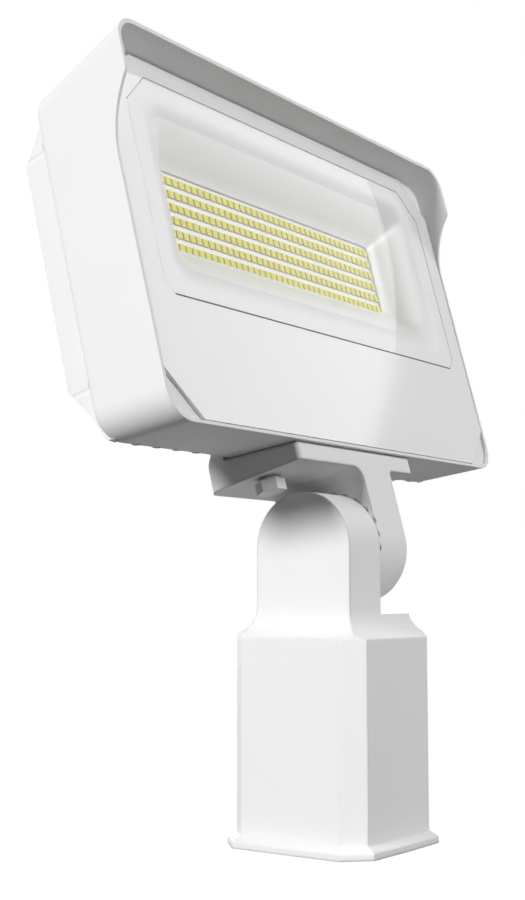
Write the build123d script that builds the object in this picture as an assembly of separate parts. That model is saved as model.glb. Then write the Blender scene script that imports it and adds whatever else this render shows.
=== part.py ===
from build123d import *
import os
from math import acos, cos, pi, radians, sin, sqrt, tan

# LED flood light head on a tilting knuckle, with a slipfitter that drops over a pole tenon.
# Millimetres. The origin is the centre of the socket's mouth, +Z runs up the pole, the light
# faces -Y and the tilt axis lies along X. The head is drawn upright with the tilt axis at
# the origin, then tipped back and lifted to the pivot as it is written.

# Slipfitter casting
tenon_d = 60.3
socket_play = 2.2
socket_depth = 92.0
body_w = 84.0
body_h = 111.2
body_chamfer = 10.4
parting_peak = 0.6
rim_out = 4.8
rim_t = 3.4
rim_slope = 3.3
flare_r = 16.0
neck_top = 124.0
pivot_z = 160.0
wireway_x = (-14.0, -5.0)
wireway_half_y = 8.0

# Knuckle: the ear is cast on the slipfitter, the arm on the head's bracket
ear_r = 30.2
ear_left = -29.2
seam_x = 1.9
seam_gap = 0.1
arm_r = 29.8
arm_right = 31.5
tooth_count = 24
tooth_in_r = 18.6
tooth_out_r = 27.6
tooth_h = 1.4
tooth_share = 0.42
tooth_flank = 0.65
tooth_play = 0.18
wire_ring_in = 19.0
wire_ring_out = 30.0
wire_ring_depth = 10.0
seal_in_r = 15.6
seal_out_r = 17.4
seal_depth = 1.6

# Pivot bolt, its washers and the steel insert in the ear
pivot_d = 12.0
pivot_af = 19.0
pivot_head_h = 7.5
pivot_seat_d = 30.0
pivot_seat_depth = 7.5
washer_d = 26.0
washer_t = 2.5
spring_washer_d = 21.0
spring_washer_t = 3.0
insert_af = 17.0
insert_end = -20.0
pivot_tip_gap = 2.0
running_gap = 0.05

# Pole set screws
set_screw_d = 9.5
set_screw_af = 14.3
set_screw_head_h = 6.2
set_screw_z = (28.0, 68.0)
set_screw_out = 4.5
set_screw_tip_gap = 0.3

# Head: outside of the die-cast shell, drafted towards its back
rest_tilt = 15.0
rim_y = -32.3
visor_y = -48.0
back_y = 17.7
half_w = 162.2
shell_bottom = 48.4
shell_top = 256.4
side_draft = 0.045
bottom_draft = 0.113
top_draft = 0.2
bottom_r = 16.0
top_r = 14.0
back_edge_r = 5.0
visor_curve_r = 60.0
visor_drop = 32.0
visor_nose_r = 5.0

# Head: walls and bays
rim_wall = 1.8
visor_wall = 2.4
wall = 3.0
ledge_w = 6.5
ledge_t = 3.0
partition_z = 112.0
partition_t = 4.0
spreader_t = 5.0

# Cooling fins on the back
fin_count = 20
fin_side_margin = 12.1
fin_t = 3.0
fin_foot = 0.4
fin_depth = 36.2
fin_low_nose = (24.5, 71.0)
fin_low_back = 87.0
fin_high_back_drop = 42.9
fin_high_nose_y = 26.5
fin_high_nose_drop = 31.9
fin_top_drop = 20.4
fin_notch_half_w = 61.0
fin_notch_top = 66.0

# Front frame, lens and seals
frame_setback = 0.3
frame_t = 3.0
frame_chamfer = 23.5
frame_gap = 0.25
frame_gasket_t = 1.0
frame_gasket_w = 5.0
corner_pad_drop = 2.0
lens_side_margin = 16.6
lens_bottom = 115.3
lens_top_margin = 17.0
lens_chamfer = 18.0
lens_low_chamfer = 7.0
lens_t = 4.0
lens_edge = 0.4
lens_gap = 0.12
lens_rim_w = 3.0
lens_lip_w = 3.0
lens_lip_t = 2.0
lens_seal_t = 1.0
lens_seal_w = 2.6
frame_boss_d = 8.0
frame_boss_h = 5.0
frame_boss_play = 0.6

# Frame screws, driven from the back of the shell
frame_screw_d = 3.5
frame_screw_head_af = 5.5
frame_screw_head_h = 2.2
frame_screw_play = 0.4
frame_screw_inset = 7.6
frame_screw_heights = (0.17, 0.8)
frame_screw_low_x = 79.0
frame_screw_low_z = 62.0
frame_screw_cover = 1.2
spotface_depth = 2.0
column_af = 10.5

# LED board and its chips
board_half_w = 113.0
board_bottom = 144.0
board_top = 213.0
board_t = 1.6
board_y = -10.6
board_corner = 2.5
board_screw_inset = 5.0
board_screw_d = 3.0
board_screw_head_af = 5.5
board_screw_head_h = 1.8
board_screw_reach = 3.0
chip_columns = 38
chip_rows = 6
chip_pitch_z = 7.9
chip_first_z = 158.1
chip_w = 3.5
chip_h = 3.4
chip_t = 0.7

# Reflector tray
window_margin_x = 8.4
window_bottom = 156.0
window_top = 202.4
reflector_gap = 1.0
reflector_collar = 2.0
reflector_t = 1.2
reflector_margin = 19.6
reflector_bottom_margin = 9.7
reflector_top_margin = 6.4
flange_overlap = 3.0
post_af = 8.0
post_inset = 3.5
post_z = (140.0, 210.0)

# Driver bay
bay_side_gap = 8.0
driver_w = 168.0
driver_h = 38.0
driver_t = 32.0
driver_top_gap = 3.0
driver_edge = 2.0
driver_flange = 9.0
driver_flange_t = 3.0
driver_screw_inset = 8.0
bay_screw_d = 4.0
bay_screw_head_af = 7.0
bay_screw_head_h = 2.6
bay_screw_reach = 2.0
surge_size = (30.0, 22.0, 26.0)
surge_z = 84.0
surge_edge_r = 2.0
terminal_size = (24.0, 15.0, 17.0)
terminal_gap = 8.0
terminal_z = 78.0
terminal_ways = 3
connector_size = (12.0, 3.5, 6.0)
connector_inset = 15.0
connector_margin = 1.0
lead_d = 1.8
lead_spacing = 6.0
lead_drop = 16.0
vent_d = 6.0
vent_head_af = 11.0
vent_head_h = 4.5
vent_bay = 6
vent_z = 98.0
earth_gap = 10.0
earth_z = 100.0

# Knuckle bracket, its bolts and its gasket
bracket_half_w = 58.0
bracket_bottom = 38.6
bracket_back = 34.0
bracket_back_r = 9.0
bracket_front_r = 2.5
bracket_step = 1.0
bracket_top = 61.0
bracket_ridge = 24.0
bracket_shoulder = 50.0
bracket_gasket_t = 1.0
bracket_gasket_inset = 0.5
arm_fillet_in = 8.0
arm_fillet_out = 3.0
arm_core_wall = 5.0
arm_core_t = 11.0
arm_core_half_y = 10.0
bracket_bolt_d = 9.5
bracket_bolt_af = 14.3
bracket_bolt_head_h = 6.2
bracket_bolt_x = 45.5
bracket_bolt_y = 0.5
bracket_bolt_boss_d = 11.0
bracket_bolt_boss_h = 2.2
bracket_bolt_reach = 9.0
bracket_bolt_play = 0.5
shell_boss_d = 20.0
shell_boss_h = 12.0
grommet_hole_d = 16.0
grommet_bore_d = 9.0
grommet_lip_d = 21.0
grommet_lip_t = 1.5

# Values worked out from the driving dimensions
past = 1.0
half_body = body_w / 2
socket_d = tenon_d + socket_play
ear_top = pivot_z + ear_r
arm_x = seam_x + seam_gap
frame_front = rim_y + frame_setback
frame_back = frame_front + frame_t
ledge_y = frame_back + frame_gasket_t
ledge_back = ledge_y + ledge_t
seat_y = board_y + board_t
spreader_back = seat_y + spreader_t
bay_back = back_y - wall
lens_back = frame_front + lens_t
lip_front = lens_back + lens_seal_t
lip_back = lip_front + lens_lip_t
collar_back = board_y - reflector_gap
collar_front = collar_back - reflector_collar
core_x = (arm_x + arm_core_wall, arm_x + arm_core_wall + arm_core_t)
core_mid = (core_x[0] + core_x[1]) / 2
pivot_seat_x = arm_right - pivot_seat_depth
screw_seat_y = back_y - spotface_depth
fin_pitch = 2 * (half_w - fin_side_margin) / (fin_count - 1)
fin_high_back = shell_top - fin_high_back_drop
fin_high_nose = (fin_high_nose_y, shell_top - fin_high_nose_drop)
fin_top = shell_top - fin_top_drop
lens_half_w = half_w - lens_side_margin
lens_top = shell_top - lens_top_margin
frame_screw_side_x = half_w - frame_screw_inset
frame_screw_side_z = [shell_bottom + part * (shell_top - shell_bottom) for part in frame_screw_heights]
window_half_w = board_half_w - window_margin_x
chip_pitch_x = 2 * window_half_w / chip_columns
reflector_half_w = lens_half_w - reflector_margin
reflector_bottom = lens_bottom + reflector_bottom_margin
reflector_top = lens_top - reflector_top_margin
bay_half_w = half_w - side_draft * (bay_back - rim_y) - wall
driver_x = driver_flange + driver_w / 2 + bay_side_gap - bay_half_w
driver_z = partition_z - driver_top_gap - driver_h / 2
surge_x = bay_half_w - bay_side_gap - surge_size[0] / 2
terminal_x = surge_x - terminal_gap - (surge_size[0] + terminal_size[0]) / 2
earth_x = driver_x + driver_w / 2 + driver_flange + earth_gap
connector_x = board_half_w - connector_inset
vent_x = vent_bay * fin_pitch


def half_width(y):
    return half_w - side_draft * (y - rim_y)


def low_edge(y):
    return shell_bottom + bottom_draft * (y - rim_y)


def high_edge(y):
    return shell_top - top_draft * (y - visor_y)


def bracket_seat(y):
    return low_edge(y) - bracket_gasket_t


# Drawing helpers


def depth_plane(y):
    """Plane across the head at a depth y, drawn in x and z."""
    return Plane(origin=(0, y, 0), x_dir=(1, 0, 0), z_dir=(0, -1, 0))


def closed(points):
    """Face inside a polygon, whichever way round its points run."""
    twice_area = sum(a[0] * b[1] - a[1] * b[0] for a, b in zip(points, points[1:] + points[:1]))
    return make_face(Polyline(*(points if twice_area > 0 else points[::-1]), close=True))


def slab_x(outline, x0, x1):
    """Outline given in y and z, made into a slab between two x values."""
    plane = Plane(origin=(x0, 0, 0), x_dir=(0, 1, 0), z_dir=(1, 0, 0))
    return extrude(plane * outline, x1 - x0, dir=(1, 0, 0))


def slab_y(outline, y0, y1):
    """Outline given in x and z, made into a slab between two y values."""
    return extrude(depth_plane(y0) * outline, y1 - y0, dir=(0, 1, 0))


def block(x, y, z):
    """Box between two limits on each axis."""
    size = [b - a for a, b in (x, y, z)]
    middle = [(a + b) / 2 for a, b in (x, y, z)]
    return Pos(*middle) * Box(*size)


def rod(diameter, start, end):
    """Round bar between two points."""
    run = Vector(*end) - Vector(*start)
    return extrude(Plane(origin=start, z_dir=run) * Circle(diameter / 2), run.length)


def hex_bar(across_flats, start, end):
    """Hexagonal bar between two points."""
    run = Vector(*end) - Vector(*start)
    return extrude(Plane(origin=start, z_dir=run) * RegularPolygon(across_flats / sqrt(3), 6), run.length)


def frustum(near, far):
    """Solid between two parallel polygons whose matching sides are parallel."""
    ends = [Face(Wire.make_polygon(points)) for points in (near, far)]
    sides = zip(near, near[1:] + near[:1], far[1:] + far[:1], far)
    return Solid(Shell(ends + [Face(Wire.make_polygon(side)) for side in sides]))


def clipped_rectangle(half, low, high, low_clip, high_clip):
    """Upright rectangle with its four corners cut off, in x and z."""
    side = [(half, low + low_clip), (half, high - high_clip), (half - high_clip, high)]
    other = [(-x, z) for x, z in reversed(side)]
    return closed(side + other + [(low_clip - half, low), (half - low_clip, low)])


# Outlines of the head


def shell_block(y0, y1, side=0.0, top=0.0, bottom=0.0):
    """Tapered block between two depths of the shell, inset by the given walls."""
    ends = []
    for y in (y0, y1):
        half, low, high = half_width(y) - side, low_edge(y) + bottom, high_edge(y) - top
        ends.append([(half, y, low), (half, y, high), (-half, y, high), (-half, y, low)])
    tapered = frustum(*ends)
    for group, radius in ((0, bottom_r), (-1, top_r)):
        corners = tapered.edges().filter_by(lambda edge: abs((edge @ 1 - edge @ 0).Y) > (y1 - y0) / 2)
        tapered = fillet(corners.group_by(Axis.Z)[group], max(radius - side, rim_wall))
    return tapered


def visor_cutter():
    """What is cut from in front of the rim, below the visor and its curved cheeks."""
    rise_z = high_edge(visor_y) - visor_drop
    centre_y = rim_y - visor_curve_r
    turn = acos((visor_y - centre_y) / visor_curve_r)
    start_z = rise_z - visor_curve_r * sin(turn)
    middle = (centre_y + visor_curve_r * cos(turn / 2), start_z + visor_curve_r * sin(turn / 2))
    outside, below = visor_y - wall, shell_bottom - wall
    edge = Polyline((visor_y, rise_z), (outside, rise_z), (outside, below), (rim_y, below), (rim_y, start_z))
    edge += ThreePointArc((rim_y, start_z), middle, (visor_y, rise_z))
    return slab_x(make_face(edge), -half_w - wall, half_w + wall)


def frame_outline(grow=0.0):
    """Clipped rectangle of the front frame, which fits inside the rim and under the visor."""
    half = half_width(frame_back) - rim_wall - frame_gap + grow
    low = low_edge(frame_back) + rim_wall + frame_gap - grow
    high = high_edge(frame_back) - visor_wall - frame_gap + grow
    clip = frame_chamfer + grow * (2 - sqrt(2))
    return clipped_rectangle(half, low, high, clip, clip)


def lens_outline(grow=0.0):
    corner = grow * (2 - sqrt(2))
    clips = (lens_low_chamfer + corner, lens_chamfer + corner)
    return clipped_rectangle(lens_half_w + grow, lens_bottom - grow, lens_top + grow, *clips)


def fin_profile():
    """Side view of one fin outside the shell."""
    inner, turn = back_y - back_edge_r, back_edge_r / 2
    return closed([
        (inner, low_edge(inner) - fin_foot), (back_y - turn, low_edge(back_y) - fin_foot),
        (back_y + fin_foot, low_edge(back_y) + turn), fin_low_nose,
        (fin_depth, fin_low_back), (fin_depth, fin_high_back), fin_high_nose, (back_y, fin_top),
        (bay_back, fin_top), (bay_back, low_edge(bay_back) + wall / 2), (inner, low_edge(inner) + wall / 2),
    ])


# Where the small pieces of the head stand, in x and z

frame_screw_points = [(s * frame_screw_side_x, z) for s in (-1, 1) for z in frame_screw_side_z]
frame_screw_points += [(s * frame_screw_low_x, frame_screw_low_z) for s in (-1, 1)]
board_screw_points = [
    (x, z)
    for x in (board_screw_inset - board_half_w, 0, board_half_w - board_screw_inset)
    for z in (board_bottom + board_screw_inset, board_top - board_screw_inset)
]
post_x = lens_half_w - lens_lip_w + flange_overlap - post_inset
post_points = [(s * post_x, z) for s in (-1, 1) for z in post_z]
driver_screw_points = [
    (driver_x + s * (driver_w + driver_flange) / 2, driver_z + t * (driver_h / 2 - driver_screw_inset))
    for s in (-1, 1)
    for t in (-1, 1)
]
fin_x = [(i - (fin_count - 1) / 2) * fin_pitch for i in range(fin_count)]
lead_x = (connector_x - lead_spacing / 2, connector_x + lead_spacing / 2)
bracket_bolt_points = [(s * bracket_bolt_x, bracket_bolt_y) for s in (-1, 1)]
bracket_bolt_tip = low_edge(bracket_bolt_y) + bracket_bolt_reach


# Housing


def head_housing():
    outer = shell_block(visor_y, back_y)
    outer = fillet(outer.faces().sort_by(Axis.Y)[-1].edges(), back_edge_r) - visor_cutter()
    nose = outer.faces().sort_by(Axis.Y)[0].edges().sort_by(Axis.Z)[0]
    outer = fillet(nose, visor_nose_r)

    # recess for the frame with a pad in each corner, the ledge behind it and the inner space
    shell = outer - shell_block(visor_y - past, ledge_y, rim_wall, visor_wall, rim_wall)
    pads = shell_block(frame_front + corner_pad_drop, ledge_y, rim_wall / 2, visor_wall / 2, rim_wall / 2)
    shell += pads - slab_y(frame_outline(frame_gap), visor_y, ledge_y + past)
    shell -= slab_y(frame_outline(-ledge_w), ledge_y - past, ledge_back + past)
    shell -= shell_block(ledge_back, seat_y, wall, wall, wall)

    # driver bay below the partition, and pockets between the fins behind the heat spreader
    across = (-half_w, half_w)
    bay = block(across, (seat_y, back_y), (0, partition_z))
    shell -= shell_block(seat_y, bay_back, wall, wall, wall) & bay
    pockets = shell_block(spreader_back, back_y + past, wall, wall, wall)
    pockets &= block(across, (seat_y, back_y + past), (partition_z + partition_t, shell_top))
    depths, heights = (seat_y, fin_depth + past), (0, shell_top)
    shell -= pockets - [block((x - fin_t / 2, x + fin_t / 2), depths, heights) for x in fin_x]
    fins = [slab_x(fin_profile(), x - fin_t / 2, x + fin_t / 2) for x in fin_x]
    above_notch = block(across, depths, (fin_notch_top, shell_top))
    beside_notch = shell_block(seat_y, fin_depth + past, 0, -wall, -fin_foot)
    limits = [above_notch if abs(x) < fin_notch_half_w else beside_notch for x in fin_x]
    shell += [fin & limit for fin, limit in zip(fins, limits)]

    # columns for the frame screws, posts for the reflector, bosses for the bracket bolts
    shell += [hex_bar(column_af, (x, ledge_y, z), (x, back_y, z)) & outer for x, z in frame_screw_points]
    shell += [hex_bar(post_af, (x, lip_back + reflector_t, z), (x, spreader_back, z)) for x, z in post_points]
    for x, y in bracket_bolt_points:
        foot = low_edge(y) + wall / 2
        shell += rod(shell_boss_d, (x, y, foot), (x, y, foot + shell_boss_h))

    # holes
    for x, z in frame_screw_points:
        boss_hole = frame_boss_d + frame_boss_play
        shell -= rod(boss_hole, (x, ledge_y - past, z), (x, frame_back + frame_boss_h + frame_boss_play, z))
        shell -= rod(frame_screw_d + frame_screw_play, (x, ledge_y, z), (x, back_y, z))
        shell -= rod(frame_screw_head_af + 3 * frame_screw_play, (x, screw_seat_y, z), (x, fin_depth, z))
    for x, z in board_screw_points:
        shell -= rod(board_screw_d, (x, seat_y - past, z), (x, seat_y + board_screw_reach, z))
    for x, z in driver_screw_points + [(earth_x, earth_z)]:
        shell -= rod(bay_screw_d, (x, bay_back - past, z), (x, bay_back + bay_screw_reach, z))
    shell -= rod(vent_d, (vent_x, bay_back - past, vent_z), (vent_x, back_y + past, vent_z))
    for x, y in bracket_bolt_points:
        shell -= rod(bracket_bolt_d, (x, y, 0), (x, y, bracket_bolt_tip))
    return shell - rod(grommet_hole_d, (core_mid, 0, 0), (core_mid, 0, low_edge(grommet_lip_d) + wall))


# Front of the head


def front_frame():
    frame = slab_y(frame_outline(), frame_front, frame_back)
    frame += slab_y(lens_outline(lens_gap + lens_rim_w), frame_back - past, lip_back)
    frame -= slab_y(lens_outline(lens_gap), frame_front - past, lip_front)
    frame -= slab_y(lens_outline(-lens_lip_w), frame_front - past, lip_back + past)
    for x, z in frame_screw_points:
        frame += rod(frame_boss_d, (x, frame_back - past, z), (x, frame_back + frame_boss_h, z))
        frame -= rod(frame_screw_d, (x, frame_front + frame_screw_cover, z), (x, back_y, z))
    return frame


def frame_gasket():
    """Flat ring pressed between the frame and the ledge."""
    ring = slab_y(frame_outline(), frame_back, ledge_y)
    ring -= slab_y(frame_outline(-frame_gasket_w), frame_back - past, ledge_y + past)
    hole, front, back = frame_boss_d + frame_boss_play, frame_back - past, ledge_y + past
    return ring - [rod(hole, (x, front, z), (x, back, z)) for x, z in frame_screw_points]


def frame_screws():
    screws = []
    for x, z in frame_screw_points:
        head = hex_bar(frame_screw_head_af, (x, screw_seat_y, z), (x, screw_seat_y + frame_screw_head_h, z))
        tip = (x, frame_front + frame_screw_cover, z)
        screws.append(head + rod(frame_screw_d, tip, (x, screw_seat_y, z)))
    return screws


def lens():
    plate = slab_y(lens_outline(), frame_front, lens_back)
    return chamfer(plate.faces().sort_by(Axis.Y)[0].edges(), lens_edge)


def lens_seal():
    ring = slab_y(lens_outline(), lens_back, lip_front)
    return ring - slab_y(lens_outline(-lens_seal_w), lens_back - past, lip_front + past)


def reflector_bowl(grow):
    """Space inside the tray, or its outside when grown by the sheet's thickness."""
    ends = []
    for y, half, low, high in (
        (lip_back, reflector_half_w + grow, reflector_bottom - grow, reflector_top + grow),
        (collar_front, window_half_w + grow, window_bottom - grow, window_top + grow),
    ):
        ends.append([(half, y, low), (half, y, high), (-half, y, high), (-half, y, low)])
    collar = block((-half, half), (collar_front, collar_back), (low, high))
    return frustum(*ends) + collar


def reflector():
    flange = slab_y(lens_outline(flange_overlap - lens_lip_w), lip_back, lip_back + reflector_t)
    return flange + reflector_bowl(reflector_t) - reflector_bowl(0)


# LED board


def hex_screw(x, z, seat, head_af, head_h, shank_d, reach):
    """Hexagon head screw driven towards the back of the head."""
    head = hex_bar(head_af, (x, seat - head_h, z), (x, seat, z))
    return head + rod(shank_d, (x, seat, z), (x, seat + reach, z))


def led_board():
    board = block((-board_half_w, board_half_w), (board_y, seat_y), (board_bottom, board_top))
    board = chamfer(board.edges().filter_by(Axis.Y), board_corner)
    return board - [rod(board_screw_d, (x, board_y, z), (x, seat_y, z)) for x, z in board_screw_points]


def led_chips():
    first_x = -(chip_columns - 1) / 2 * chip_pitch_x
    return [
        Pos(first_x + column * chip_pitch_x, board_y - chip_t / 2, chip_first_z + row * chip_pitch_z)
        * Box(chip_w, chip_t, chip_h)
        for row in range(chip_rows)
        for column in range(chip_columns)
    ]


def led_board_screws():
    size = (board_screw_head_af, board_screw_head_h, board_screw_d, board_t + board_screw_reach)
    return [hex_screw(x, z, board_y, *size) for x, z in board_screw_points]


def led_connector():
    """Housing with two poke-in wire holes, on the board's lower margin."""
    w, t, h = connector_size
    z = board_bottom + connector_margin
    body = block((connector_x - w / 2, connector_x + w / 2), (board_y - t, board_y), (z, z + h))
    hole = (board_y - (t + lead_d) / 2, board_y - (t - lead_d) / 2)
    return body - [block((x - lead_d / 2, x + lead_d / 2), hole, (z - past, z + h / 2)) for x in lead_x]


def led_leads():
    """Two leads from the board's connector down to the driver's end, drawn with six sides."""
    leads = []
    top_y = board_y - connector_size[1] / 2
    top_z = board_bottom + connector_margin + connector_size[2] / 2
    low_y = bay_back - driver_t / 2
    for x, z in zip(lead_x, (driver_z - lead_spacing / 2, driver_z + lead_spacing / 2)):
        end = (driver_x + driver_w / 2, low_y, z)
        route = [(x, top_y, top_z), (x, top_y, z + lead_drop), (x, low_y, z), end]
        runs = [Vector(*b) - Vector(*a) for a, b in zip(route, route[1:])]
        radii = [
            0.45 * min(a.length, b.length) / tan(radians(a.get_angle(b)) / 2)
            for a, b in zip(runs, runs[1:])
        ]
        path = FilletPolyline(*route, radius=radii)
        leads.append(sweep(Plane(origin=path @ 0, z_dir=path % 0) * RegularPolygon(lead_d / 2, 6), path=path))
    return leads


# Driver bay


def driver():
    left, right = driver_x - driver_w / 2, driver_x + driver_w / 2
    height = (driver_z - driver_h / 2, driver_z + driver_h / 2)
    case = block((left, right), (bay_back - driver_t, bay_back), height)
    case = chamfer(case.faces().sort_by(Axis.Y)[0].edges().filter_by(Axis.X), driver_edge)
    flange = (left - driver_flange, right + driver_flange)
    case += block(flange, (bay_back - driver_flange_t, bay_back), height)
    return case - [rod(bay_screw_d, (x, 0, z), (x, back_y, z)) for x, z in driver_screw_points]


def driver_screws():
    size = (bay_screw_head_af, bay_screw_head_h, bay_screw_d, driver_flange_t + bay_screw_reach)
    return [hex_screw(x, z, bay_back - driver_flange_t, *size) for x, z in driver_screw_points]


def surge_protector():
    w, t, h = surge_size
    body = Pos(surge_x, bay_back - t / 2, surge_z) * Box(w, t, h)
    return fillet(body.edges().filter_by(Axis.Y), surge_edge_r)


def terminal_block():
    """Screw terminals, with a wire entry and a screw well for each way."""
    w, t, h = terminal_size
    body = Pos(terminal_x, bay_back - t / 2, terminal_z) * Box(w, t, h)
    step, front = w / terminal_ways, bay_back - t
    for i in range(terminal_ways):
        middle = terminal_x - w / 2 + (i + 0.5) * step
        across = (middle - step / 4, middle + step / 4)
        body -= block(across, (front + t / 3, front + t * 2 / 3), (terminal_z - h, terminal_z))
        body -= block(across, (front - past, front + t * 2 / 3), (terminal_z, terminal_z + h / 4))
    return body


def earth_screw():
    size = (bay_screw_head_af, bay_screw_head_h, bay_screw_d, bay_screw_reach)
    return hex_screw(earth_x, earth_z, bay_back, *size)


def breather_vent():
    """Screw-in membrane vent on the back wall, between two fins."""
    head = hex_bar(vent_head_af, (vent_x, back_y, vent_z), (vent_x, back_y + vent_head_h, vent_z))
    return head + rod(vent_d, (vent_x, bay_back, vent_z), (vent_x, back_y, vent_z))


# Knuckle bracket


def bracket_plate():
    """Plate under the shell, with an upstand behind its lower back edge."""
    wall_y = back_y + bracket_step
    profile = closed([
        (-arm_r, bracket_bottom), (-arm_r, bracket_seat(-arm_r)), (wall_y, bracket_seat(wall_y)),
        (wall_y, bracket_top), (bracket_ridge, bracket_top), (bracket_back, bracket_shoulder),
        (bracket_back, bracket_bottom),
    ])
    plate = slab_x(profile, -bracket_half_w, bracket_half_w)
    plate = fillet(plate.edges().filter_by(Axis.Z).group_by(Axis.Y)[-1], bracket_back_r)
    return fillet(plate.edges().filter_by(Axis.Z).group_by(Axis.Y)[0], bracket_front_r)


def arm():
    """Arm that ends in the toothed disc, with the fillets that run into the plate."""
    root = bracket_seat(-arm_r) - past
    arm_mid = (arm_x + arm_right) / 2
    tee = Pos(0, (bracket_bottom + root) / 2) * Rectangle(2 * bracket_half_w, root - bracket_bottom)
    tee += Pos(arm_mid, (root - arm_r) / 2) * Rectangle(arm_right - arm_x, root + arm_r)
    for index, radius in ((2, arm_fillet_out), (1, arm_fillet_in)):
        corners = tee.vertices().filter_by(lambda v: abs(v.Y - bracket_bottom) < frame_gap).sort_by(Axis.X)
        tee = fillet(corners[index], radius)
    side = Circle(arm_r) + Pos(0, root / 2) * Rectangle(2 * arm_r, root)
    width = bracket_half_w - bracket_front_r
    return slab_y(tee, -arm_r, arm_r) & slab_x(side, -width, width)


def face_teeth(inner_r, outer_r, height, play):
    """Ring of radial face teeth standing out of the seam towards +X."""
    ends = []
    for r in (inner_r, outer_r):
        foot = pi * r / tooth_count * tooth_share + play
        flank = [(seam_x - past, foot), (seam_x, foot), (seam_x + height, foot - tooth_flank)]
        ends.append([(x, y, r) for x, y in flank + [(x, -y) for x, y in reversed(flank)]])
    pattern = frustum(*ends)
    return [Rot(i * 360 / tooth_count, 0, 0) * pattern for i in range(tooth_count)]


def wire_ring(x0, x1):
    """Annular wireway round the hub of the knuckle."""
    return rod(wire_ring_out, (x0, 0, 0), (x1, 0, 0)) - rod(wire_ring_in, (x0, 0, 0), (x1, 0, 0))


def knuckle_bracket():
    casting = bracket_plate() + arm()
    boss_z = bracket_bottom - bracket_bolt_boss_h
    for x, y in bracket_bolt_points:
        casting += rod(bracket_bolt_boss_d, (x, y, boss_z), (x, y, bracket_bottom + past))
    casting -= wire_ring(arm_x - past, arm_x + wire_ring_depth)
    core_low = (wire_ring_in + wire_ring_out) / 4
    casting -= block(core_x, (-arm_core_half_y, arm_core_half_y), (core_low, bracket_top))
    casting -= rod(pivot_d + 2 * running_gap, (arm_x - past, 0, 0), (arm_right + past, 0, 0))
    casting -= rod(pivot_seat_d, (pivot_seat_x, 0, 0), (arm_right + past, 0, 0))
    for x, y in bracket_bolt_points:
        casting -= rod(bracket_bolt_d + bracket_bolt_play, (x, y, 0), (x, y, bracket_top))
    inner, depth = tooth_in_r - tooth_play * 3, tooth_h + 2 * tooth_play
    return casting - face_teeth(inner, arm_r + past, depth, tooth_play)


def bracket_gasket():
    front, back = bracket_gasket_inset - arm_r, back_y - bracket_gasket_inset
    profile = closed([(front, bracket_seat(front)), (back, bracket_seat(back)), (back, low_edge(back)),
                      (front, low_edge(front))])
    half = bracket_half_w - bracket_gasket_inset
    sheet = slab_x(profile, -half, half)
    for x, y in bracket_bolt_points:
        sheet -= rod(bracket_bolt_d + bracket_bolt_play, (x, y, 0), (x, y, bracket_top))
    return sheet - rod(grommet_lip_d, (core_mid, 0, 0), (core_mid, 0, bracket_top))


def bracket_bolts():
    seat = bracket_bottom - bracket_bolt_boss_h
    return [
        hex_bar(bracket_bolt_af, (x, y, seat - bracket_bolt_head_h), (x, y, seat))
        + rod(bracket_bolt_d, (x, y, seat), (x, y, bracket_bolt_tip))
        for x, y in bracket_bolt_points
    ]


def wire_grommet():
    """Rubber grommet in the shell's floor, over the arm's wireway."""
    foot, top = low_edge(grommet_hole_d / 2), low_edge(grommet_lip_d / 2) + wall
    body = rod(grommet_hole_d, (core_mid, 0, foot), (core_mid, 0, top))
    body += rod(grommet_lip_d, (core_mid, 0, top), (core_mid, 0, top + grommet_lip_t))
    return body - rod(grommet_bore_d, (core_mid, 0, foot - past), (core_mid, 0, top + grommet_lip_t + past))


# Slipfitter


def octagon_points(grow, z):
    """Square with clipped corners and a slight peak at the parting line."""
    half = half_body + grow
    flat = half - body_chamfer - grow * (2 - sqrt(2))
    peak = half + parting_peak * flat / (half_body - body_chamfer)
    back = [(half, flat), (flat, half), (0, peak), (-flat, half), (-half, flat)]
    return [(x, y, z) for x, y in back + [(-x, -y) for x, y in back]]


def octagon_bar(grow, z0, z1):
    return frustum(octagon_points(grow, z0), octagon_points(grow, z1))


def flared(side, neck, top):
    """One half of the casting's outline: the body, the concave flare and the neck above it."""
    reach = half_body + parting_peak
    rise = sqrt(flare_r**2 - (neck + flare_r - reach)**2)
    flare = Pos(side * reach / 2, (body_h + rise) / 2) * Rectangle(reach, body_h + rise)
    flare -= Pos(side * (neck + flare_r), body_h + rise) * Circle(flare_r)
    return flare + Pos(side * neck / 2, top / 2) * Rectangle(neck, top)


def slipfitter_casting():
    reach = half_body + parting_peak
    side = flared(-1, ear_r, pivot_z) + flared(1, ear_r, pivot_z) + Pos(0, pivot_z) * Circle(ear_r)
    front = flared(-1, -ear_left, ear_top) + flared(1, arm_right, ear_top)
    casting = slab_x(side, -reach, reach) & slab_y(front, -reach, reach) & octagon_bar(0, 0, ear_top)
    casting -= block((seam_x, reach), (-reach, reach), (neck_top, ear_top))
    casting += octagon_bar(rim_out, 0, rim_t)
    casting += frustum(octagon_points(rim_out, rim_t), octagon_points(0, rim_t + rim_slope))
    casting += [Pos(0, 0, pivot_z) * ridge for ridge in face_teeth(tooth_in_r, tooth_out_r, tooth_h, 0)]

    # socket, wireway up to the ring round the hub, seat of the seal and holes for the screws
    casting -= rod(socket_d, (0, 0, -past), (0, 0, socket_depth))
    ring_z = pivot_z - (wire_ring_in + wire_ring_out) / 4
    casting -= block(wireway_x, (-wireway_half_y, wireway_half_y), (socket_depth - past, ring_z))
    casting -= Pos(0, 0, pivot_z) * wire_ring(seam_x - wire_ring_depth, seam_x + past)
    casting -= seal_ring(seam_x + tooth_h)
    casting -= hex_bar(insert_af, (insert_end, 0, pivot_z), (seam_x + past, 0, pivot_z))
    for z in set_screw_z:
        casting -= rod(set_screw_d + 2 * running_gap, (0, 0, z), (0, 2 * half_body, z))
    return casting


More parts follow.
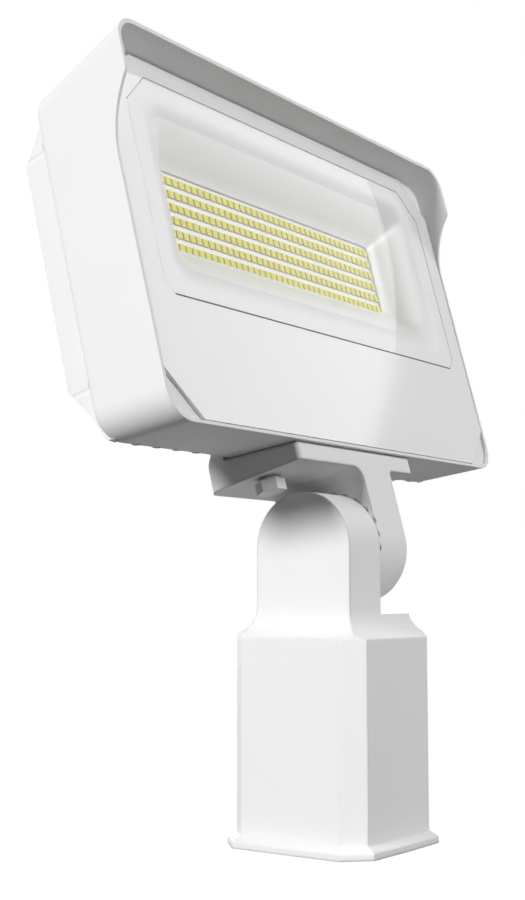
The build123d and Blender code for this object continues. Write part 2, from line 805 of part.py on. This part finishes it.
def seal_ring(face_x):
    start, end = (seam_x - seal_depth, 0, pivot_z), (face_x, 0, pivot_z)
    return rod(2 * seal_out_r, start, end) - rod(2 * seal_in_r, start, end)


def knuckle_seal():
    return seal_ring(arm_x - running_gap)


def pivot_insert():
    start, end = (insert_end, 0, pivot_z), (seam_x, 0, pivot_z)
    return hex_bar(insert_af, start, end) - rod(pivot_d, start, end)


def ring_washer(outer_d, x, thickness):
    start, end = (x, 0, pivot_z), (x + thickness, 0, pivot_z)
    return rod(outer_d, start, end) - rod(pivot_d, start, end)


washer_x = pivot_seat_x + running_gap
spring_washer_x = washer_x + washer_t
pivot_head_x = spring_washer_x + spring_washer_t


def pivot_washer():
    return ring_washer(washer_d, washer_x, washer_t)


def spring_washer():
    """Split washer, cut through on the side away from the light."""
    washer = ring_washer(spring_washer_d, spring_washer_x, spring_washer_t)
    x = (spring_washer_x - past, spring_washer_x + spring_washer_t + past)
    return washer - block(x, (0, spring_washer_d), (pivot_z - past / 2, pivot_z + past / 2))


def pivot_bolt():
    head = hex_bar(pivot_af, (pivot_head_x, 0, pivot_z), (pivot_head_x + pivot_head_h, 0, pivot_z))
    return head + rod(pivot_d, (insert_end + pivot_tip_gap, 0, pivot_z), (pivot_head_x, 0, pivot_z))


def set_screw(z):
    """Hexagon screw through the body's back wall, its tip clear of the tenon."""
    tip = socket_d / 2 + set_screw_tip_gap
    seat = half_body + parting_peak + set_screw_out
    return rod(set_screw_d, (0, tip, z), (0, seat, z)) + hex_bar(
        set_screw_af, (0, seat, z), (0, seat + set_screw_head_h, z)
    )


# Every sub-part, those of the head in its upright pose

slipfitter_parts = {
    "slipfitter_casting": slipfitter_casting,
    "knuckle_seal": knuckle_seal,
    "pivot_insert": pivot_insert,
    "pivot_bolt": pivot_bolt,
    "pivot_washer": pivot_washer,
    "spring_washer": spring_washer,
    "set_screw_lower": lambda: set_screw(set_screw_z[0]),
    "set_screw_upper": lambda: set_screw(set_screw_z[1]),
}
head_parts = {
    "head_housing": head_housing,
    "front_frame": front_frame,
    "frame_gasket": frame_gasket,
    "frame_screws": frame_screws,
    "lens": lens,
    "lens_seal": lens_seal,
    "reflector": reflector,
    "led_board": led_board,
    "led_chips": led_chips,
    "led_board_screws": led_board_screws,
    "led_connector": led_connector,
    "led_leads": led_leads,
    "driver": driver,
    "driver_screws": driver_screws,
    "surge_protector": surge_protector,
    "terminal_block": terminal_block,
    "earth_screw": earth_screw,
    "breather_vent": breather_vent,
    "knuckle_bracket": knuckle_bracket,
    "bracket_gasket": bracket_gasket,
    "bracket_bolts": bracket_bolts,
    "wire_grommet": wire_grommet,
}
tip_back = Pos(0, 0, pivot_z) * Rot(-rest_tilt, 0, 0)

os.makedirs("parts", exist_ok=True)
for place, group in ((Pos(0, 0, 0), slipfitter_parts), (tip_back, head_parts)):
    for name, make in group.items():
        made = make()
        pieces = made if isinstance(made, list) else [made]
        solids = [solid for piece in pieces for solid in (place * piece).solids()]
        export_step(Compound(children=solids) if len(solids) > 1 else solids[0], f"parts/{name}.step")
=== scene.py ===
import bmesh
import bpy
from math import cos, radians, sin
from mathutils import Matrix, Vector


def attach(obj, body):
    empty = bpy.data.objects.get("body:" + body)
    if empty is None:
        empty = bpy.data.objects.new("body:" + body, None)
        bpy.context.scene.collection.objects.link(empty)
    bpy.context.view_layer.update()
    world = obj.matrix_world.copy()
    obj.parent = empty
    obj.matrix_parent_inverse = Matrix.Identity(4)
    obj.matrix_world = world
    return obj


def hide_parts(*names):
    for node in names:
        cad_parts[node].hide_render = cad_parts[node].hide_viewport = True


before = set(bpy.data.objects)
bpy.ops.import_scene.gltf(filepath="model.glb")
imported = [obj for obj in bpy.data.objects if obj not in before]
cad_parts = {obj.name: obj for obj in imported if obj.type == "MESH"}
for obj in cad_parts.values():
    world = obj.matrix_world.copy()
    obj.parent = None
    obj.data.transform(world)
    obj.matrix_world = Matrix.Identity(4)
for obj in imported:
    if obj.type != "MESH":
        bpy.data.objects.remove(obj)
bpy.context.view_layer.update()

# Castings
# The slipfitter, the knuckle bracket, the housing and the front frame are die-cast aluminium
# under one coat of smooth white powder, which rounds the edges and has a faint orange peel.


class Wire:
    """An output of a node. A sum written with it adds Math nodes to the same finish."""

    def __init__(self, finish, socket):
        self.finish = finish
        self.socket = socket

    def math(self, operation, first, second):
        return self.finish.add("ShaderNodeMath", {"operation": operation}, {0: first, 1: second})

    def __add__(self, other):
        return self.math("ADD", self, other)

    def __mul__(self, other):
        return self.math("MULTIPLY", self, other)

    __radd__ = __add__
    __rmul__ = __mul__


class Finish:
    """A material, or the room's light, under construction."""

    def __init__(self, name, owner=None):
        self.material = owner or bpy.data.materials.new(name)
        self.material.use_nodes = True
        self.tree = self.material.node_tree
        self.tree.nodes.clear()

    def add(self, kind, settings=None, sockets=None, output=0):
        node = self.tree.nodes.new(kind)
        for name, value in (settings or {}).items():
            setattr(node, name, value)
        for name, value in (sockets or {}).items():
            if isinstance(value, Wire):
                self.tree.links.new(value.socket, node.inputs[name])
            else:
                node.inputs[name].default_value = value
        return Wire(self, node.outputs[output]) if node.outputs else node

    def place(self):
        """Where a point lies on the object, in metres."""
        return self.add("ShaderNodeTexCoord", output="Object")

    def noise(self, scale, detail=2.0, roughness=0.5):
        sockets = {"Vector": self.place(), "Scale": scale, "Detail": detail, "Roughness": roughness}
        return self.add("ShaderNodeTexNoise", None, sockets)

    def blend(self, factor, first, second):
        sockets = {0: factor, 6: (*first, 1), 7: (*second, 1)}
        return self.add("ShaderNodeMix", {"data_type": "RGBA"}, sockets, output=2)

    def relief(self, height, depth, strength=1.0, edge=0.0):
        """Bump of a height in metres, over edges that are rounded by a radius."""
        sockets = {"Height": height, "Distance": depth, "Strength": strength}
        if edge:
            sockets["Normal"] = self.add("ShaderNodeBevel", {"samples": 6}, {"Radius": edge})
        return self.add("ShaderNodeBump", None, sockets)

    def surface(self, **sockets):
        """Ends the finish in one plastic, metal or paint shader."""
        named = {name.replace("_", " "): value for name, value in sockets.items()}
        shader = self.add("ShaderNodeBsdfPrincipled", None, named)
        self.add("ShaderNodeOutputMaterial", None, {"Surface": shader})
        return self.material


def coat(piece, material):
    """Puts a finish on a piece or on a part of the frame."""
    piece.data.materials.clear()
    piece.data.materials.append(material)


def on_parts(material, *names):
    for name in names:
        coat(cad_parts[name], material)


def powder_coat(name, pale, deep, edge, gloss):
    """Smooth white powder: slight clouding, satin gloss and an orange peel of about 1.5 mm."""
    finish = Finish(name)
    cloud = finish.noise(22.0, 3.0)
    peel = finish.noise(700.0, 1.0) + finish.noise(2600.0, 0.0) * 0.25
    return finish.surface(
        Base_Color=finish.blend(cloud, deep, pale),
        Roughness=cloud * 0.04 + (0.5 - gloss),
        Normal=finish.relief(peel, 0.00002, 0.35, edge),
        Specular_IOR_Level=gloss,
    )


white_powder = powder_coat("white_powder_coat", (0.9, 0.9, 0.9), (0.87, 0.87, 0.872), 0.0006, 0.05)
knuckle_powder = powder_coat("knuckle_powder_coat", (0.9, 0.9, 0.9), (0.87, 0.87, 0.872), 0.0022, 0.05)
frame_powder = powder_coat("front_frame_powder_coat", (0.9, 0.9, 0.9), (0.88, 0.88, 0.882), 0.00035, 0.45)
on_parts(white_powder, "head_housing")
on_parts(knuckle_powder, "slipfitter_casting", "knuckle_bracket")
on_parts(frame_powder, "front_frame")

# Steel of the knuckle and the set screws
# The pivot bolt, its washers and the set screws are stainless, with turned or stamped faces. The
# insert in the ear is zinc-plated steel, dulled by the casting round it.


def bright_steel(name, colour, roughness, grain):
    finish = Finish(name)
    streak = finish.noise(grain, 4.0, 0.7)
    return finish.surface(
        Base_Color=finish.blend(streak, tuple(0.8 * c for c in colour), colour),
        Metallic=1.0,
        Roughness=streak * 0.2 + roughness,
        Normal=finish.relief(streak, 0.00001, 0.3, 0.0003),
    )


stainless = bright_steel("stainless_steel", (0.62, 0.61, 0.6), 0.22, 900.0)
zinc_plate = bright_steel("zinc_plate", (0.55, 0.57, 0.6), 0.3, 400.0)
on_parts(stainless, "pivot_bolt", "pivot_washer", "spring_washer", "set_screw_lower", "set_screw_upper")
on_parts(stainless, "frame_screws", "led_board_screws", "driver_screws")
on_parts(zinc_plate, "pivot_insert")

# Rubber seals
# The knuckle's ring and the grommet are black rubber, the frame and bracket seals are grey
# silicone and the lens's is white. All are moulded, with a matt, slightly dusty skin.


def moulded_rubber(name, colour, dust):
    finish = Finish(name)
    bloom = finish.noise(300.0, 5.0, 0.7)
    return finish.surface(
        Base_Color=finish.blend(bloom * dust, colour, (0.6, 0.6, 0.58)),
        Roughness=bloom * 0.15 + 0.7,
        Normal=finish.relief(bloom, 0.00003, 0.4),
    )


on_parts(moulded_rubber("black_rubber", (0.02, 0.02, 0.02), 0.06), "knuckle_seal", "wire_grommet")
on_parts(moulded_rubber("grey_silicone", (0.42, 0.42, 0.42), 0.1), "frame_gasket", "bracket_gasket")
on_parts(moulded_rubber("white_silicone", (0.86, 0.86, 0.86), 0.02), "lens_seal")

# Lens
# A flat clear sheet, 4 mm thick, with polished faces and a fine bevel round its front. A thin
# black strip along its lower edge is a painted shadow line in the seam, dark where there is only shade.


def clear_glass():
    """Clear sheet with polished faces, which lets the lamps' light straight in."""
    finish = Finish("clear_glass")
    glass = finish.add("ShaderNodeBsdfPrincipled", None, {
        "Base Color": (0.99, 1.0, 0.995, 1), "Roughness": 0.0, "IOR": 1.02, "Transmission Weight": 1.0,
        "Coat Weight": 0.5, "Coat Roughness": 0.0, "Coat IOR": 1.5,
    })
    straight = finish.add("ShaderNodeBsdfTransparent", None, {"Color": (0.98, 0.985, 0.98, 1)})
    scattered = finish.add("ShaderNodeLightPath", output="Diffuse Depth")
    lit = scattered.math("GREATER_THAN", scattered, 0.5)
    lit = lit.math("MAXIMUM", lit, finish.add("ShaderNodeLightPath", output="Is Shadow Ray"))
    mixed = finish.add("ShaderNodeMixShader", None, {0: lit, 1: glass, 2: straight})
    finish.add("ShaderNodeOutputMaterial", None, {"Surface": mixed})
    return finish.material


on_parts(clear_glass(), "lens")

lean, pivot_z = radians(15), 0.16
upright_head = Matrix.Translation((0, 0, pivot_z)) @ Matrix.Rotation(-lean, 4, "X")


def cut_loop(shape, half, low, high, low_cut, high_cut, depth, segments=1):
    """Edges of an upright rectangle with cut or rounded corners, in the head's own upright frame."""
    middle = Matrix.Translation((0, depth, (low + high) / 2)) @ Matrix.Rotation(radians(90), 4, "X")
    place = middle @ Matrix.Diagonal((half, (high - low) / 2, 1, 1))
    corners = bmesh.ops.create_grid(shape, x_segments=1, y_segments=1, size=1, matrix=place)["verts"]
    corners.sort(key=lambda corner: corner.co.z)
    for pair, cut in ((corners[:2], low_cut), (corners[2:], high_cut)):
        bmesh.ops.bevel(
            shape, geom=pair, offset=cut, affect="VERTICES", segments=segments, profile=0.5, material=-1
        )
    opening = [face for face in shape.faces if len(face.verts) > 4][-1]
    loop = opening.edges[:]
    shape.faces.remove(opening)
    return loop


def join_loops(shape, loops):
    """One skin through all the loops, facing the front, then tipped back with the head."""
    for wider, narrower in zip(loops, loops[1:]):
        bmesh.ops.bridge_loops(shape, edges=wider + narrower)
    bmesh.ops.recalc_face_normals(shape, faces=shape.faces)
    if sum(face.normal.y for face in shape.faces) > 0:
        bmesh.ops.reverse_faces(shape, faces=shape.faces)
    bmesh.ops.transform(shape, matrix=upright_head, verts=shape.verts)


def add_piece(shape, name, slot, *finishes):
    """Makes a shape into a piece that rides on the head."""
    piece = bpy.data.objects.new(name, bpy.data.meshes.new(name))
    shape.to_mesh(piece.data)
    shape.free()
    bpy.context.scene.collection.objects.link(piece)
    for finish in finishes:
        piece.data.materials.append(finish)
    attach(piece, "head")
    return piece


# A dark strip in the seam under the lens: painted shadow standing in for the shade of the gap.
strip_w, strip_t, strip_h, strip_y, strip_z = 0.2788, 0.0002, 0.001, -0.03186, 0.1156
strip = bmesh.new()
strip_size = Matrix.Diagonal((strip_w, strip_t, strip_h, 1))
bmesh.ops.create_cube(strip, size=1, matrix=Matrix.Translation((0, strip_y, strip_z)) @ strip_size)
bmesh.ops.transform(strip, matrix=upright_head, verts=strip.verts)
painted_seam_shadow = moulded_rubber("painted_seam_shadow", (0.03, 0.03, 0.03), 0.05)
add_piece(strip, "lens_seam_shadow_strip", "black_rubber", painted_seam_shadow)

# Reflector
# A tray of white moulded plastic with a satin skin, whose sides curve down to a thin rim just
# clear of the board. Its flat lip is drawn up through the sheet, close under the polished front,
# because a lip seated behind the sheet leaves a dark gap round the window.


def satin_plastic(name, colour, roughness):
    finish = Finish(name)
    skin = finish.noise(1500.0, 2.0)
    return finish.surface(
        Base_Color=finish.blend(skin, tuple(0.97 * c for c in colour), colour),
        Roughness=skin * 0.08 + roughness,
        Normal=finish.relief(skin, 0.00001, 0.3, 0.0004),
    )


# Half width, bottom, top, lower and upper corner cuts of the tray's edges, and their depths.
tray_lip = (0.1455, 0.1154, 0.2393, 0.007, 0.018)
tray_mouth, tray_mouth_y = (0.1345, 0.1235, 0.2315, 0.014, 0.014), -0.0317
tray_foot, tray_foot_y = (0.1066, 0.154, 0.2044, 0.005, 0.005), -0.0124
tray_steps, tray_curve, tray_wall = 8, 1.6, 0.0008
painted_shade_per_metre = 52.0


def tray_plastic():
    """White at the lip, darkened towards the board by painted shade deeper in the tray, with a satin skin.
    """
    finish = Finish("reflector_white")
    tipped_back = {0: finish.place(), 1: (0, cos(lean), -sin(lean))}
    depth = finish.add("ShaderNodeVectorMath", {"operation": "DOT_PRODUCT"}, tipped_back, output=1)
    # Painted shade: the base colour greys with depth from the lip down to the board.
    deep = (depth + (pivot_z * sin(lean) - tray_mouth_y)) * painted_shade_per_metre
    skin = finish.noise(1500.0, 2.0)
    return finish.surface(
        Base_Color=finish.blend(deep, (0.83, 0.83, 0.828), (0.7, 0.7, 0.69)),
        Roughness=skin * 0.08 + 0.3,
        Normal=finish.relief(skin, 0.00001, 0.12),
    )


tray_rings = []
for step in range(tray_steps + 1):
    part = step / tray_steps
    ring = [a + (b - a) * part for a, b in zip(tray_mouth, tray_foot)]
    tray_rings.append((ring, tray_mouth_y + (tray_foot_y - tray_mouth_y) * part**tray_curve))
tray_rings += [
    ((0.1052, 0.1554, 0.203, 0.0036, 0.0036), -0.0121),
    ((0.1047, 0.1559, 0.2025, 0.0031, 0.0031), -0.0118),
    ((0.1046, 0.156, 0.2024, 0.003, 0.003), -0.0112),
]

tray = bmesh.new()
rings = [cut_loop(tray, *tray_lip, tray_mouth_y)]
rings += [cut_loop(tray, *ring, depth, segments=5) for ring, depth in tray_rings]
join_loops(tray, rings)
lip_corners = {corner for edge in rings[0] for corner in edge.verts}
for face in tray.faces:
    face.smooth = lip_corners.isdisjoint(face.verts)
tray = add_piece(tray, "reflector_tray", "reflector_white", tray_plastic())
wall = tray.modifiers.new("wall", "SOLIDIFY")
wall.thickness = tray_wall
wall.offset = -1
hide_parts("reflector")

# LED board
# An aluminium-core board under glossy white solder mask, with a poke-in connector on its lower
# margin and two insulated leads down to the driver.


def solder_mask():
    finish = Finish("white_solder_mask")
    weave = finish.noise(500.0, 2.0)
    return finish.surface(
        Base_Color=finish.blend(weave, (0.76, 0.755, 0.71), (0.8, 0.795, 0.75)),
        Roughness=weave * 0.1 + 0.25,
        Normal=finish.relief(weave, 0.00001, 0.3),
    )


on_parts(solder_mask(), "led_board")
on_parts(satin_plastic("connector_nylon", (0.85, 0.85, 0.82), 0.5), "led_connector", "terminal_block")
on_parts(satin_plastic("lead_jacket", (0.75, 0.75, 0.75), 0.45), "led_leads")

# LED chips
# Each chip is a block of yellow phosphor in silicone, 4.4 by 4.5 mm and 0.9 mm high, whose sides
# take a darker copy of the phosphor as painted shade. The array has six rows of thirty-eight, soldered to
# the board.


def phosphor(name, pale, deep):
    finish = Finish(name)
    grain = finish.noise(4000.0, 2.0)
    return finish.surface(
        Base_Color=finish.blend(grain, deep, pale),
        Roughness=grain * 0.15 + 0.5,
        Normal=finish.relief(grain, 0.00001, 0.4),
        Specular_IOR_Level=0.05,
    )


chip_w, chip_h, chip_t, board_y = 0.0044, 0.0045, 0.0009, -0.0106
chip_border, chip_edge, chip_first_z = 0.00035, 0.0001, 0.1581
chip_columns, chip_rows, chip_pitch_x, chip_pitch_z = 38, 6, 0.2092 / 38, 0.0079
array = bmesh.new()
block_size = Matrix.Diagonal((chip_w, chip_t, chip_h, 1))
bmesh.ops.create_cube(array, size=1, matrix=Matrix.Translation((0, board_y - chip_t / 2, 0)) @ block_size)
top = min(array.faces, key=lambda face: face.calc_center_median().y)
bmesh.ops.inset_region(array, faces=[top], thickness=chip_border, depth=0)
bmesh.ops.bevel(
    array, geom=top.edges[:], offset=chip_edge, affect="EDGES", segments=1, profile=0.5, material=-1
)
# Front faces take the yellow phosphor, and the sides take a darker copy of it as painted shade.
for face in array.faces:
    face.material_index = int(face.normal.y > -0.5)
one_chip = array.verts[:] + array.edges[:] + array.faces[:]
for row in range(chip_rows):
    for column in range(chip_columns):
        across = (column - (chip_columns - 1) / 2) * chip_pitch_x
        made = bmesh.ops.duplicate(array, geom=one_chip)["geom"]
        places = [part for part in made if isinstance(part, bmesh.types.BMVert)]
        bmesh.ops.translate(array, vec=(across, 0, chip_first_z + row * chip_pitch_z), verts=places)
pattern = [part for part in one_chip if isinstance(part, bmesh.types.BMVert)]
bmesh.ops.delete(array, geom=pattern, context="VERTS")
bmesh.ops.transform(array, matrix=upright_head, verts=array.verts)
chip_top = phosphor("yellow_phosphor", (0.77, 0.71, 0.002), (0.67, 0.59, 0.001))
# A darker copy of the same phosphor, painted shade for the chips' sides.
chip_shaded_side = phosphor("painted_shade_phosphor", (0.42, 0.3, 0.004), (0.34, 0.23, 0.003))
array = add_piece(array, "chip_array", "phosphor", chip_top, chip_shaded_side)
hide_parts("led_chips")

# Driver, surge protector, earth screw and vent
# The driver is a drawn aluminium case, the surge protector a potted black box, the earth screw
# brass, and the vent black moulded plastic.

on_parts(bright_steel("drawn_aluminium", (0.75, 0.75, 0.76), 0.35, 150.0), "driver")
on_parts(satin_plastic("black_casing", (0.03, 0.03, 0.03), 0.5), "surge_protector", "breather_vent")
on_parts(bright_steel("plain_brass", (0.75, 0.55, 0.25), 0.3, 700.0), "earth_screw")

# Bracket bolts
# Two hexagon bolts, painted with the castings, that hold the bracket up against the housing. Their white is
# lighter than the castings' as painted light, to brighten the heads.

# Painted light: this white is lighter than the castings' powder.
lightened_bolt_powder = powder_coat("bolt_powder_coat_painted_light", (0.95, 0.95, 0.95), (0.92, 0.92, 0.92), 0.0003, 0.1)
on_parts(lightened_bolt_powder, "bracket_bolts")

# Floor
# A plain pale round sheet under the socket's mouth, which shows white and keeps a soft shadow.

outline = bmesh.new()
bmesh.ops.create_circle(outline, cap_ends=True, segments=96, radius=1.6)
floor = bpy.data.objects.new("studio_floor", bpy.data.meshes.new("studio_floor"))
outline.to_mesh(floor.data)
bpy.context.scene.collection.objects.link(floor)


def seen_white(finish):
    """One on the rays of the camera, of gloss and of clear material, and zero once light scatters."""
    path = finish.add("ShaderNodeLightPath", output="Is Camera Ray")
    path = path + finish.add("ShaderNodeLightPath", output="Is Glossy Ray")
    path = path + finish.add("ShaderNodeLightPath", output="Is Transmission Ray")
    scattered = finish.add("ShaderNodeLightPath", output="Diffuse Depth")
    return path.math("MINIMUM", path, 1.0) * scattered.math("LESS_THAN", scattered, 0.5)


sheet = Finish("pale_floor")
paper = sheet.add("ShaderNodeBsdfDiffuse", None, {"Color": (0.15, 0.15, 0.15, 1)})
white = sheet.add("ShaderNodeEmission", None, {"Color": (1, 1, 1, 1), "Strength": seen_white(sheet) * 0.93})
both = sheet.add("ShaderNodeAddShader", None, {0: paper, 1: white})
sheet.add("ShaderNodeOutputMaterial", None, {"Surface": both})
coat(floor, sheet.material)

# Studio light
# A soft box on the left, two in front, a round one on the right that the lens and the frame
# mirror, a broad light from behind on the right, and a dim even room.

world = bpy.data.worlds.new("studio")
bpy.context.scene.world = world
world.use_nodes = True
room = Finish("studio_room", world)
level = seen_white(room) * 0.98 + 0.02
backdrop = room.add("ShaderNodeBackground", None, {"Color": (1, 1, 1, 1), "Strength": level})
room.add("ShaderNodeOutputWorld", None, {"Surface": backdrop})


def lamp(name, kind, place, aim, energy, **settings):
    light = bpy.data.lights.new(name, kind)
    light.energy = energy
    for setting, value in settings.items():
        setattr(light, setting, value)
    stand = bpy.data.objects.new(name, light)
    stand.location = place
    stand.rotation_euler = (Vector(aim) - Vector(place)).to_track_quat("-Z", "Y").to_euler()
    bpy.context.scene.collection.objects.link(stand)


lamp("left_box", "AREA", (-5.49, 0.5, 2.04), (0, 0, 0.25), 314, shape="DISK", size=1.2)
lamp("front_box", "AREA", (0, -2.255, 1.07), (0, 0, 0.25), 22, shape="DISK", size=0.9)
lamp("front_high_box", "AREA", (0, -1.966, 1.627), (0, 0, 0.25), 10, shape="DISK", size=0.9)
lamp("round_soft_box", "AREA", (1.756, -1.366, 1.654), (0, 0, 0.3), 12, shape="DISK", size=1.58)
lamp("back_light", "SUN", (1.5, 1.5, 0.55), (0, 0, 0), 1.9, angle=radians(35))

# Camera
# Low and to the left of the light's front, looking slightly up at it.

camera = bpy.data.objects.new("camera", bpy.data.cameras.new("camera"))
camera.data.lens = 56.54
camera.location = (-0.6617, -0.4317, 0.1323)
turn, rise = radians(54.08), radians(6.01)
sight = Vector((sin(turn) * cos(rise), cos(turn) * cos(rise), sin(rise)))
camera.rotation_euler = sight.to_track_quat("-Z", "Y").to_euler()
bpy.context.scene.collection.objects.link(camera)
bpy.context.scene.camera = camera
bpy.context.scene.view_settings.view_transform = "Standard"
